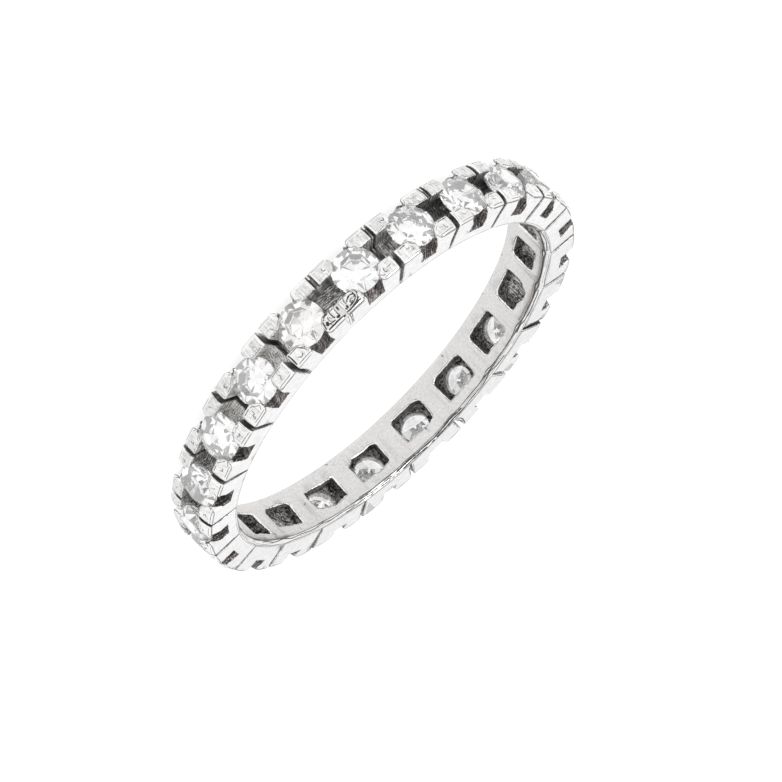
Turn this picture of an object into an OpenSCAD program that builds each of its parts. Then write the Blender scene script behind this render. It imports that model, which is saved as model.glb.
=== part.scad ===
// Full eternity ring, four-claw set.
// The ring lies flat on its side: its axis is +Z, one side face is on z = 0,
// and the origin is on the axis in that face. All sizes are in millimetres.
//
// The metal is one solid: a round sleeve with a groove turned around it,
// slotted across at each stone and saw-cut between the stones, so that four
// claws are left at each stone. A round collar stands under each stone, and a
// round hole runs through it into a four-sided opening in the finger side.
// Each stone is an eight-facet single cut with a round girdle.

/* [Ring] */
// Inside diameter, the finger size
inner_d = 17.3; // [16:0.1:19]
// Width of the band along the finger
band_w = 2.42; // [2.36:0.02:2.6]
// Bevel of the two inner edges
inner_bevel = 0.2; // [0.1:0.02:0.24]
// Angle of the first stone from +X, in degrees
first_deg = 7.5; // [0:0.5:17]

/* [Wall] */
// Metal between the finger side and the groove's floor
floor_t = 0.73; // [0.7:0.01:0.76]
// Height from the finger side to the floor of the slots in the side faces
slot_floor_h = 0.66; // [0.6:0.01:0.68]
// Height from the finger side to the outer edge of the side faces
side_h = 1.54; // [1.5:0.01:1.6]
// Height from the finger side to the top of the claws
claw_h = 1.73; // [1.7:0.01:1.78]
// Width of the groove between the two rows of claws
groove_w = 1; // [0.9:0.02:1.06]

/* [Claws] */
// Width of the slot in the side faces below each stone
slot_w = 0.84; // [0.76:0.02:0.9]
// Width of the saw cut between neighbouring stones
saw_w = 0.2; // [0.14:0.02:0.26]
// Metal left under the saw cut
saw_floor_h = 0.22; // [0.2:0.01:0.3]
// How near to the middle of the stone the claws' corners reach
claw_reach_r = 0.82; // [0.78:0.01:0.88]

/* [Openings in the finger side] */
// Length of each opening around the ring
hole_l = 1.5; // [1.3:0.02:1.6]
// Width of each opening along the finger
hole_w = 1.16; // [1.0:0.02:1.24]
// Depth of each opening from the finger side
hole_depth = 0.5; // [0.4:0.02:0.54]
// Radius of the round hole below each stone
drill_r = 0.64; // [0.6:0.01:0.68]
// Radius of the collar that stays round the point of each stone
collar_r = 0.82; // [0.78:0.01:0.86]

/* [Stones] */
// Diameter at the girdle
stone_d = 1.96; // [1.9:0.02:2.0]
// Height of the crown, from the girdle to the table
crown_h = 0.27; // [0.24:0.01:0.29]
// Depth of the pavilion, from the girdle to the culet
pavilion_h = 0.8; // [0.76:0.01:0.82]
// Thickness of the girdle in the middle of a facet
girdle_t = 0.05; // [0.04:0.01:0.07]
// Height from the finger side to the table
table_h = 1.67; // [1.64:0.01:1.7]
// Clearance between a stone and the metal
stone_gap = 0.02; // [0.015:0.005:0.03]
// Largest tilt of a stone in its setting, in degrees
stone_tilt = 1.6; // [0:0.1:2]

/* [Hidden] */
stone_n = 21;
pitch = 360 / stone_n;
inner_r = inner_d / 2;
stone_r = stone_d / 2;
crown_a = 34;
pavilion_a = 40.4;
mid_z = band_w / 2;
past = 0.6;
gold = [0.82, 0.82, 0.81];
gem = [0.93, 0.95, 0.97];

// Each stone was set by hand, so each one is turned and tilted a little differently
function turn_deg(i) = (i * 17) % 45;
function tilt_a(i) = stone_tilt * sin(i * 97);
function tilt_b(i) = stone_tilt * sin(i * 151 + 40);
function lift(i) = 0.015 * sin(i * 73);

// Sets a shape at stone i with z along the radius, y around the ring and x along the ring's axis
module at_stone(i) {
    rotate([0, 0, first_deg + (i - 1) * pitch])
        translate([0, 0, mid_z])
            rotate([0, 90, 0])
                children();
}

// Sets a shape at the middle of the girdle of stone i, in the stone's own tilt
module at_girdle(i) {
    at_stone(i)
        translate([0, 0, inner_r + table_h - crown_h + lift(i)])
            rotate([tilt_a(i), tilt_b(i), turn_deg(i)])
                children();
}

// A prism that runs across the whole width of the band; its outline is in the plane of the ring
module across(a, outline) {
    rotate([0, 0, a])
        translate([0, 0, -past])
            linear_extrude(height = band_w + 2 * past)
                polygon(outline);
}

// The turned shape before it is cut: sleeve, groove and two walls with gently crowned tops
module turned_blank() {
    o = inner_r;
    g0 = mid_z - groove_w / 2;
    g1 = mid_z + groove_w / 2;
    rotate_extrude($fn = 96)
        polygon([
            [o, inner_bevel],
            [o + inner_bevel, 0],
            [o + side_h, 0],
            [o + claw_h - 0.07, 0.11],
            [o + claw_h - 0.01, 0.3],
            [o + claw_h, 0.5],
            [o + claw_h - 0.02, g0],
            [o + floor_t, g0],
            [o + floor_t, g1],
            [o + claw_h - 0.02, g1],
            [o + claw_h, band_w - 0.5],
            [o + claw_h - 0.01, band_w - 0.3],
            [o + claw_h - 0.07, band_w - 0.11],
            [o + side_h, band_w],
            [o + inner_bevel, band_w],
            [o, band_w - inner_bevel]]);
}

// The slot below stone i that opens in both side faces, a little wider at the claw tops
module slot(i) {
    lo = inner_r + slot_floor_h;
    edge = inner_r + side_h + 0.02;
    hi = inner_r + claw_h + past;
    w = slot_w / 2;
    across(first_deg + (i - 1) * pitch,
        [[lo, -w], [edge, -w], [edge + 0.2, -w - 0.14], [hi, -w - 0.14],
         [hi, w + 0.14], [edge + 0.2, w + 0.14], [edge, w], [lo, w]]);
}

// The saw cut between stone i and the next one
module saw_cut(i) {
    lo = inner_r + saw_floor_h;
    edge = inner_r + side_h + 0.06;
    hi = inner_r + claw_h + past;
    w = saw_w / 2;
    across(first_deg + (i - 0.5) * pitch,
        [[lo, -w], [edge, -w], [edge + 0.14, -w - 0.05], [hi, -w - 0.05],
         [hi, w + 0.05], [edge + 0.14, w + 0.05], [edge, w], [lo, w]]);
}

// The four-sided opening in the finger side, with cut corners
module finger_side_opening(i) {
    a = hole_w / 2;
    b = hole_l / 2;
    c = 0.13;
    at_stone(i)
        translate([0, 0, inner_r - past])
            linear_extrude(height = past + hole_depth)
                polygon([[a - c, -b], [a, -b + c], [a, b - c], [a - c, b],
                         [-a + c, b], [-a, b - c], [-a, -b + c], [-a + c, -b]]);
}

// Heights of the ridges between the facets of a stone, at a distance r from its middle
function crown_ridge(r) = (stone_r - r * cos(22.5)) * tan(crown_a);
function pavilion_ridge(r) = -girdle_t - (stone_r - r * cos(22.5)) * tan(pavilion_a);

// The round seat of stone i: its hole, the bearing under the girdle and the room for the crown
module seat(i) {
    g = stone_gap;
    low = -(table_h - crown_h) + hole_depth - 0.04;
    at_girdle(i)
        rotate_extrude($fn = 64)
            polygon([
                [0, low],
                [drill_r, low],
                [drill_r, pavilion_ridge(drill_r) - g],
                [stone_r + g, pavilion_ridge(stone_r) - g],
                [stone_r + g, crown_ridge(stone_r) + g],
                [claw_reach_r, crown_ridge(claw_reach_r) + g],
                [claw_reach_r, crown_h + past],
                [0, crown_h + past]]);
}

// The collar of stone i, which stands on the floor of the groove and carries the stone
module collar(i) {
    at_girdle(i)
        translate([0, 0, floor_t - 0.15 - (table_h - crown_h)])
            cylinder(r = collar_r, h = table_h - crown_h - floor_t - 0.05, $fn = 64);
}

module band() {
    color(gold)
        difference() {
            union() {
                difference() {
                    turned_blank();
                    for (i = [1:stone_n]) slot(i);
                    for (i = [1:stone_n]) saw_cut(i);
                }
                for (i = [1:stone_n]) collar(i);
            }
            for (i = [1:stone_n]) finger_side_opening(i);
            for (i = [1:stone_n]) seat(i);
        }
}

// One stone: a round blank with eight crown facets and eight pavilion facets, table up
module stone(i) {
    big = 2 * stone_d;
    color(gem)
        at_girdle(i)
            difference() {
                translate([0, 0, -girdle_t - pavilion_h])
                    cylinder(r = stone_r, h = pavilion_h + girdle_t + crown_h, $fn = 64);
                for (k = [0:7]) rotate([0, 0, k * 45]) {
                    translate([stone_r, 0, 0])
                        rotate([0, crown_a, 0])
                            translate([-big / 2, -big / 2, 0]) cube(big);
                    translate([stone_r, 0, -girdle_t])
                        rotate([0, 180 - pavilion_a, 0])
                            translate([-big / 2, -big / 2, 0]) cube(big);
                }
            }
}

band();
stone(1);  // stone_01
stone(2);  // stone_02
stone(3);  // stone_03
stone(4);  // stone_04
stone(5);  // stone_05
stone(6);  // stone_06
stone(7);  // stone_07
stone(8);  // stone_08
stone(9);  // stone_09
stone(10);  // stone_10
stone(11);  // stone_11
stone(12);  // stone_12
stone(13);  // stone_13
stone(14);  // stone_14
stone(15);  // stone_15
stone(16);  // stone_16
stone(17);  // stone_17
stone(18);  // stone_18
stone(19);  // stone_19
stone(20);  // stone_20
stone(21);  // stone_21
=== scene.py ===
# Looks of the full eternity ring: a finely meshed band with hand-cut claws, slots and saw cuts, stones of clear
# crystal, a pale studio floor and soft white light. Lengths are in millimetres until a mesh is made, then metres.
import math

import bpy
import numpy as np
from mathutils import Matrix, Vector


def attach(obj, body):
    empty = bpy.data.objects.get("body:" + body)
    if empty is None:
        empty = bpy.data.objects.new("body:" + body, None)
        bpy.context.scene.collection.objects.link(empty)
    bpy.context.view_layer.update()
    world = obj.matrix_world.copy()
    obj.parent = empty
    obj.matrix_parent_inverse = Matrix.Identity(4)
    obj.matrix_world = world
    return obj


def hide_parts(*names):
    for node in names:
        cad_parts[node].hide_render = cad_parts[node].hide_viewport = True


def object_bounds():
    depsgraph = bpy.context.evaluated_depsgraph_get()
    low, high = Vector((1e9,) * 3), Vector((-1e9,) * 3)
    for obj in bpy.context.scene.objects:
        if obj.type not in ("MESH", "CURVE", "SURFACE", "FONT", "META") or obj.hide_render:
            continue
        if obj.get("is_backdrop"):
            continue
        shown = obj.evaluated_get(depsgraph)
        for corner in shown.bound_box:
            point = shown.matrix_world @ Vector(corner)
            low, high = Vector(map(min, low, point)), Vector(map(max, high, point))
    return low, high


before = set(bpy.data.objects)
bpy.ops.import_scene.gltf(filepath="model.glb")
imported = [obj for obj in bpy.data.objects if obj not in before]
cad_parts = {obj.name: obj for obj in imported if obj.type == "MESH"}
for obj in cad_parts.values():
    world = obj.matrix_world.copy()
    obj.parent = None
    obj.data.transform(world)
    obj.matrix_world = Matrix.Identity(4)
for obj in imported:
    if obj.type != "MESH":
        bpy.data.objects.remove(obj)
CAD_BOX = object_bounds()

# ------------------------------------------------------------------ sizes, the same as in the part's source
N = 21
PITCH = 2 * math.pi / N
FIRST = math.radians(7.5)
W = 2.42
RI = 8.65
INNER_BEVEL = 0.20
FLOOR_R = RI + 0.73
SLOT_R = RI + 0.66
SIDE_R = RI + 1.54
CLAW_H = 1.73
GROOVE = 0.50
SLOT = 0.42
SAW_R = RI + 0.22
HOLE_TOP = RI + 0.50
HOLE_U, HOLE_V = 0.79, 0.61
DRILL = 0.64
COLLAR = 0.82
REACH = 0.88
STONE_R, CROWN_H, GIRDLE_T, TABLE_H, GAP, TILT = 0.98, 0.27, 0.05, 1.67, 0.02, 1.6
C225 = math.cos(math.radians(22.5))
T_PAV, T_CROWN = math.tan(math.radians(40.4)) * C225, math.tan(math.radians(34)) * C225
REPAIR = 16  # the saw cut that was closed with solder when the ring was resized


def sind(d):
    return math.sin(math.radians(d))


def rot(a, b, c):
    """Turns about x, then y, then z, in degrees, as a 3 by 3 array."""
    def m(t, i, j):
        t = math.radians(t)
        r = np.eye(3)
        r[i, i] = r[j, j] = math.cos(t)
        r[i, j], r[j, i] = -math.sin(t), math.sin(t)
        return r
    return m(c, 0, 1) @ m(b, 2, 0) @ m(a, 1, 2)


# one row for each stone: its girdle's height and the turn from the setting's frame into the stone's own
GIRDLE_R = np.array([RI + TABLE_H - CROWN_H + 0.015 * sind(i * 73) for i in range(1, N + 1)])
TURN = np.array([rot(TILT * sind(i * 97), TILT * sind(i * 151 + 40), 0).T for i in range(1, N + 1)])

# ------------------------------------------------------------------ hand-made differences from setting to setting
rng = np.random.RandomState(11)
spread = lambda size, n=N: rng.uniform(-size, size, n)
slot_w = SLOT + spread(0.018)
slot_c = spread(0.02)
slot_r = SLOT_R - 0.03 + spread(0.02)
side_r = SIDE_R + spread(0.015)
saw_w = 0.10 + spread(0.014)
saw_c = spread(0.02)
saw_lean = spread(0.012)
# the cuts that the photo shows well: the stone before the cut, its shift along the ring and its half width
for stone, shift, half in ((17, -0.09, 0.125), (16, 0.05, 0.11), (15, 0.09, 0.125), (18, -0.03, 0.125), (14, 0.04, 0.12), (19, 0.0, 0.115),
                           (13, 0.09, 0.12), (8, 0.0, 0.165), (7, 0.02, 0.10), (6, 0.0, 0.12), (5, 0.0, 0.10)):
    saw_c[stone - 1], saw_w[stone - 1] = shift, half
# the slots of the stones 2 to 9 are shallower, and the side face there goes farther out
for stone, floor_r in ((1, 9.46), (2, 9.52), (3, 9.60), (4, 9.60), (5, 9.58), (6, 9.58), (7, 9.58), (8, 9.54), (9, 9.50), (10, 9.42)):
    slot_r[stone - 1] = floor_r
    side_r[stone - 1] = RI + CLAW_H - 0.075
FINS = np.zeros(N, bool)  # cuts in which a thin wall of metal was left between two strokes of the saw
FINS[[15, 14, 13, 19]] = True
drill = np.full(N, DRILL)
hole_top = np.full(N, HOLE_TOP)
for stone in (3, 9, 10):  # no light comes through these
    drill[stone - 1], hole_top[stone - 1] = 0.0, RI + 0.36
for stone, centre, half, floor_r in ((2, 0.17, 0.40, 9.62), (3, 0.03, 0.42, 9.72), (4, 0.12, 0.38, 9.72), (5, 0.16, 0.36, 9.62),
                                     (7, -0.10, 0.36, 9.64), (8, -0.16, 0.37, 9.60), (9, -0.20, 0.40, 9.56), (10, -0.20, 0.42, 9.54),
                                     (11, -0.22, 0.40, 9.42)):
    slot_c[stone - 1], slot_w[stone - 1], slot_r[stone - 1] = centre, half, floor_r
hole_u = HOLE_U + spread(0.03)
hole_v = HOLE_V + spread(0.02)
hole_c = spread(0.03)
hole_d = spread(0.02)
hole_round = 0.15 + spread(0.03)
claw_top = np.stack([spread(0.018) for _ in range(4)], 1)
claw_round = 0.30 + np.stack([spread(0.07) for _ in range(4)], 1)
claw_plan = 0.27 + np.stack([spread(0.05) for _ in range(4)], 1)
for stone in (1, 2, 3, 4, 5, 7, 8, 9, 10, 11):  # sharper ends
    claw_plan[stone - 1, 2:], claw_round[stone - 1, 2:] = 0.07, 0.12
# corners of the openings that the photo shows, going round, in millimetres along the ring and across it
OPENINGS = {
    10: ((-0.79, 0.30), (-0.72, 0.48), (0.10, 0.50), (0.62, 0.52), (0.71, 0.40), (0.72, -0.45), (0.62, -0.62), (-0.60, -0.66),
         (-0.76, -0.55)),
    9: ((-0.85, 0.30), (-0.83, 0.42), (-0.35, 0.46), (-0.05, 0.58), (0.40, 0.62), (0.51, 0.54), (0.53, 0.38), (0.78, 0.24),
        (0.79, -0.50), (0.68, -0.62), (-0.60, -0.64), (-0.82, -0.50)),
    8: ((-0.78, 0.42), (-0.72, 0.53), (-0.35, 0.49), (0.05, 0.59), (0.62, 0.59), (0.80, 0.44), (0.80, -0.50), (0.68, -0.61),
        (-0.30, -0.66), (-0.70, -0.62), (-0.79, -0.50)),
    7: ((-0.77, 0.53), (-0.20, 0.53), (0.25, 0.59), (0.78, 0.59), (0.86, 0.40), (0.89, -0.52), (0.70, -0.62), (-0.55, -0.66),
        (-0.76, -0.50)),
    6: ((-0.70, 0.45), (-0.10, 0.47), (0.40, 0.51), (0.76, 0.45), (0.84, 0.20), (0.90, -0.55), (0.60, -0.70), (-0.55, -0.74),
        (-0.68, -0.62)),
    5: ((-0.78, 0.54), (-0.30, 0.53), (0.10, 0.59), (0.40, 0.52), (0.74, 0.50), (0.82, -0.50), (0.55, -0.61), (0.20, -0.57),
        (-0.40, -0.62), (-0.66, -0.48), (-0.78, -0.38)),
    4: ((-0.82, 0.34), (-0.55, 0.49), (-0.20, 0.54), (0.05, 0.66), (0.45, 0.56), (0.80, 0.53), (0.82, 0.20), (0.88, -0.52),
        (0.30, -0.50), (-0.30, -0.56), (-0.76, -0.54), (-0.84, -0.10)),
    3: ((-0.95, 0.36), (-0.60, 0.44), (0.10, 0.56), (0.52, 0.61), (0.60, 0.20), (0.73, -0.40), (0.60, -0.58), (-0.60, -0.63),
        (-0.90, -0.40)),
}
claw_lean = np.stack([spread(0.05) for _ in range(4)], 1)


def smax(a, b, k):
    """The larger of two distances, with the corner between them rounded over about k."""
    h = np.maximum(k - np.abs(a - b), 0.0)
    return np.maximum(a, b) + h * h * 0.25 / k


def smin(a, b, k):
    h = np.maximum(k - np.abs(a - b), 0.0)
    return np.minimum(a, b) - h * h * 0.25 / k


def local(theta, z, r):
    i = np.rint((theta - FIRST) / PITCH).astype(int) % N
    d = (theta - FIRST - i * PITCH + math.pi) % (2 * math.pi) - math.pi
    return i, d


def segment(px, py, ax, ay, bx, by):
    dx, dy = bx - ax, by - ay
    t = np.clip(((px - ax) * dx + (py - ay) * dy) / (dx * dx + dy * dy + 1e-9), 0, 1)
    return np.hypot(px - ax - t * dx, py - ay - t * dy)


# solder at the closed saw cut, on the claws of the two stones beside it: (stone, u, v, radius)
PITS = ((17, -0.73, 0.90, 0.085), (17, -1.22, 0.99, 0.06), (16, 1.33, 0.97, 0.075), (17, 0.50, 0.83, 0.06), (16, 1.02, 0.98, 0.05))
RIDGES = ((17, -0.92, 1.06, -0.66, 0.72, 0.05), (17, -1.02, 1.04, -1.04, 0.62, 0.05), (17, -1.36, 1.06, -1.34, 0.62, 0.06),
          (16, 1.40, 1.08, 0.92, 1.06, 0.05), (16, 0.92, 1.06, 0.72, 0.90, 0.05), (16, 0.72, 0.90, 0.74, 0.66, 0.06),
          (16, 1.38, 0.62, 0.98, 0.60, 0.05), (16, 1.22, 0.86, 0.94, 0.76, 0.045), (16, 1.06, 0.94, 0.92, 0.84, 0.04))


def solder(i, u, v, r, top, f):
    for n, a, b, c, d, w in RIDGES:
        g = np.hypot(segment(u, v, a, b, c, d), r - top + 0.01) - w
        f = np.where(i == n - 1, smin(f, g, 0.03), f)
    for n, a, b, w in PITS:
        g = w - np.sqrt((u - a) ** 2 + (v - b) ** 2 + (r - top) ** 2)
        f = np.where(i == n - 1, np.maximum(f, g), f)
    return f


def opening(i, u, v):
    """Signed distance in the plane to the outline of the opening below stone i + 1."""
    qu = np.abs(u - hole_c[i] + 0.02 * np.sin(6 * v + i)) - hole_u[i] + hole_round[i]
    qv = np.abs(v - hole_d[i] + 0.03 * np.sin(4.5 * u + 2.3 * i)) - hole_v[i] + hole_round[i]
    d = np.hypot(np.maximum(qu, 0), np.maximum(qv, 0)) + np.minimum(np.maximum(qu, qv), 0) - hole_round[i]
    for stone, corners in OPENINGS.items():
        at = (i == stone - 1) & (np.abs(d) < 0.6)
        if not at.any():
            continue
        a, b = u[at], v[at]
        near, turns = np.full(a.shape, 9.0), np.zeros(a.shape, bool)
        for (au, av), (bu, bv) in zip(corners, corners[1:] + corners[:1]):
            near = np.minimum(near, segment(a, b, au, av, bu, bv))
            if av != bv:
                turns ^= ((av > b) != (bv > b)) & (a < (bu - au) * (b - av) / (bv - av) + au)
        near += 0.008 * np.sin(31 * a + stone) * np.sin(27 * b)
        d[at] = np.where(turns, -near, near)
    return d


def inner_bevel(theta, v):
    """Width of the chamfer on the finger side, wider at the saw cuts of the stones 7 to 12, narrow on the lower side."""
    k = (theta - FIRST) / PITCH
    near_cut = (np.abs(k - np.rint(k - 0.5) - 0.5) * PITCH * RI)
    strong = 0.35 + 0.65 * np.clip(1.5 - np.abs((k % N) - 8.3) / 2.5, 0, 1)
    wide = 0.165 + 0.085 * strong * np.exp(-(near_cut / 0.34) ** 2) + 0.012 * np.sin(2.1 * k) + 0.006 * np.sin(9.7 * k)
    return np.where(v > 0, wide, 0.06 + 0.01 * np.sin(3.3 * k))


# zones of the surface
TOP, SIDE, EDGE, INNER, INNER_EDGE, SLOT_Z, PIT, SAW_Z, HOLE_Z, SEAT_Z, HOLE_EDGE = range(11)


def band_field(theta, z, r, zones=False):
    """Signed distance to the band's surface, below zero in the metal; with zones, which part of the surface is nearest."""
    i, d = local(theta, z, r)
    u, h = r * np.sin(d), r * np.cos(d)
    v = z - W / 2
    av, au = np.abs(v), np.abs(u)
    claw = (u > 0).astype(int) + 2 * (v > 0)
    # claw top: crowned across the band and along the ring, and each one a little different
    top = RI + CLAW_H + claw_top[i, claw] - 0.02
    top = top - 0.55 * np.maximum(av - 0.72, 0) ** 2 - 0.5 * np.maximum(0.68 - av, 0) ** 2
    top = top - 0.16 * (au - 0.98) ** 2 + claw_lean[i, claw] * (av - 0.85) * 0.5
    f_top = r - top
    f_side = av - W / 2
    out = side_r[i]
    f_edge = ((r - out) * 0.11 + (av - W / 2) * 0.12) / 0.1628
    f_in = RI - r
    f_in_edge = ((av - (W / 2 - inner_bevel(theta, v))) - (r - RI)) / math.sqrt(2)
    # seat of the stone, in the stone's own tilt
    p0, p1, p2 = -v, u, h - GIRDLE_R[i]
    R = TURN[i]
    x = R[..., 0, 0] * p0 + R[..., 0, 1] * p1 + R[..., 0, 2] * p2
    y = R[..., 1, 0] * p0 + R[..., 1, 1] * p1 + R[..., 1, 2] * p2
    w = R[..., 2, 0] * p0 + R[..., 2, 1] * p1 + R[..., 2, 2] * p2
    rho = np.hypot(x, y)
    low = -(TABLE_H - CROWN_H) + 0.50 - 0.04
    bearing = (-GIRDLE_T - STONE_R * T_PAV / C225 + T_PAV * rho - GAP - w) / math.hypot(1, T_PAV)
    crown = (w - (STONE_R * T_CROWN / C225 - T_CROWN * rho + GAP)) / math.hypot(1, T_CROWN)
    c_seat = np.minimum.reduce([
        np.maximum.reduce([rho - drill[i], low - w, w - 0.2]),
        np.maximum.reduce([rho - STONE_R - GAP, bearing, crown]),
        np.maximum(rho - REACH, bearing)])
    # groove between the two rows
    c_pit = np.maximum.reduce([av - GROOVE, FLOOR_R - r, COLLAR - rho])
    # slot below each stone, open in both sides
    us = u - slot_c[i] + 0.012 * np.sin(9 * h + 5.0 * i) + 0.008 * np.sin(8 * v + 3.0 * i)
    floor_r = slot_r[i] + 0.03 * np.sin(7 * u + i) * np.clip(slot_w[i] - np.abs(us), 0, 0.2)
    c_slot = np.maximum.reduce([np.abs(us) - slot_w[i], floor_r - h, COLLAR - rho])
    # the claw's ends at the slot are rounded as seen from above, more so the higher up
    R0 = claw_plan[i, claw] * np.clip((h - 9.72) / 0.35, 0.0, 1.0) + 1e-4
    q1, q2, q3 = np.abs(us) - slot_w[i], W / 2 - av, av - GROOVE
    f_plan = np.where((R0 > q1) & (R0 > q2), np.hypot(R0 - q1, R0 - q2) - R0, -1.0)
    R0 = 0.8 * R0
    near_row = np.where((R0 > q1) & (R0 > q3), np.hypot(R0 - q1, R0 - q3) - R0, -1.0)
    f_plan = np.where((q1 > -0.1) & (q2 > -0.1) & (rho > COLLAR) & (h > 9.74), f_plan, -1.0)
    near_row = np.where((q1 > -0.1) & (q3 > -0.1) & (rho > COLLAR) & (v > 0) & (h > 9.74), near_row, -1.0)
    # saw cut between the stones
    j = np.floor((theta - FIRST) / PITCH).astype(int) % N
    e = (theta - FIRST - (j + 0.5) * PITCH + math.pi) % (2 * math.pi) - math.pi
    uw, hw = r * np.sin(e), r * np.cos(e)
    uw = uw - saw_c[j] - saw_lean[j] * v
    thin = saw_w[j] * (1.0 - 0.2 * np.clip((av - 0.9) / 0.25, 0, 1) * np.clip((10.3 - r) / 0.3, 0, 1)
                       - 0.25 * np.clip((9.4 - r) / 0.5, 0, 1))
    c_saw = np.maximum(np.abs(uw + 0.012 * np.sin(3.1 * hw + j)) - thin, SAW_R - hw)
    fin = np.maximum(np.abs(uw - 0.01) - 0.036, r - (RI + CLAW_H - 0.09))
    c_saw = np.where(FINS[j] & (v < -0.3), np.maximum(c_saw, -fin), c_saw)
    fixed = j == REPAIR - 1
    c_saw = np.where(fixed, np.maximum(c_saw, 10.19 - 0.04 * av - hw), c_saw)
    # opening in the finger side
    rect = opening(i, u, v)
    c_hole = np.maximum(rect, h - hole_top[i])
    c_hole_edge = np.maximum((rect + (r - RI) - np.where(v < 0, 0.055, 0.03)) / math.sqrt(2), r - RI - 0.12)
    # the lumps and pits of the solder
    f_top2 = solder(i, u, v, r, top, f_top)
    # rounded where a claw ends at the slot, sharper elsewhere
    k = claw_round[i, claw]
    f = smax(f_top2, f_edge, 0.03)
    f = smax(f, -c_slot, k)
    f = smax(f, -c_pit, 0.06)
    f = smax(f, -c_seat, 0.09)
    f = np.maximum.reduce([f, f_plan, near_row])
    f = smax(f, f_side, 0.025)
    f = np.maximum.reduce([f, f_in, f_in_edge])
    f = smax(f, -c_saw, 0.035)
    f = np.maximum(f, -np.minimum(c_hole, c_hole_edge))
    if not zones:
        return f
    parts = np.stack([f_top2, np.maximum(f_side, f_plan), f_edge, f_in, f_in_edge, -c_slot, -c_pit, -c_saw, -c_hole,
                      np.maximum(-c_seat, near_row), -c_hole_edge])
    return f, parts.argmax(0)


def gradient(field, t, z, r, eps=0.003):
    """Unit outward normals of the field's surface, along the ring, across it and outwards."""
    n = np.stack([field(t + eps / r, z, r) - field(t - eps / r, z, r),
                  field(t, z + eps, r) - field(t, z - eps, r),
                  field(t, z, r + eps) - field(t, z, r - eps)])
    return n / np.maximum(np.linalg.norm(n, axis=0), 1e-9)


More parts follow.
